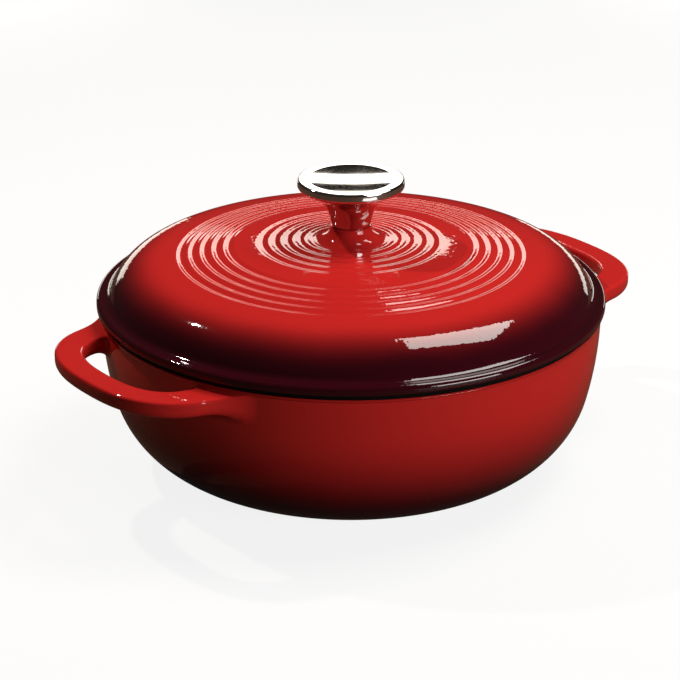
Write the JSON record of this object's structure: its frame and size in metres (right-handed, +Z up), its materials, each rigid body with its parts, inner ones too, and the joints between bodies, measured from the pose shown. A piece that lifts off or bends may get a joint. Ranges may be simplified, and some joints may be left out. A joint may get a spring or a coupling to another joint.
{
  "type": "cast iron dutch oven",
  "caption": "Round, bulging enamelled cast-iron pot with two loop handles, a domed lid with rings of shallow grooves that lifts off, and a steel knob screwed to the lid.",
  "frame": {"origin": "middle of the overall box at the height of the foot ring the pot stands on", "axes": "+Z up along the axis of the pot, the lid and the knob; +X through one handle, -X through the other"},
  "size_m": [0.3352, 0.27, 0.1571],
  "materials": {
    "pot_enamel": "glossy red enamel on cast iron, bare black iron at the rim",
    "lid_enamel": "glossy red enamel on cast iron, bare black iron at the seat",
    "inner_enamel": "glossy light enamel, a fired glass",
    "polished_steel": "mirror-polished stainless steel",
    "zinc_plated_steel": "zinc plated"
  },
  "bodies": {
    "pot": {"pot_body": "pot_enamel", "pot_lining": "inner_enamel"},
    "lid": {"lid_body": "lid_enamel", "lid_lining": "inner_enamel", "knob_cap": "polished_steel", "knob_stem": "polished_steel", "knob_insert": "zinc_plated_steel", "knob_screw": "zinc_plated_steel", "flat_washer": "zinc_plated_steel", "lock_washer": "zinc_plated_steel"}
  },
  "joints": [
    {"name": "lid_lift", "type": "slide", "parent": "pot", "child": "lid", "axis": [0, 0, 1], "range_m": [0, 0.15]}
  ]
}
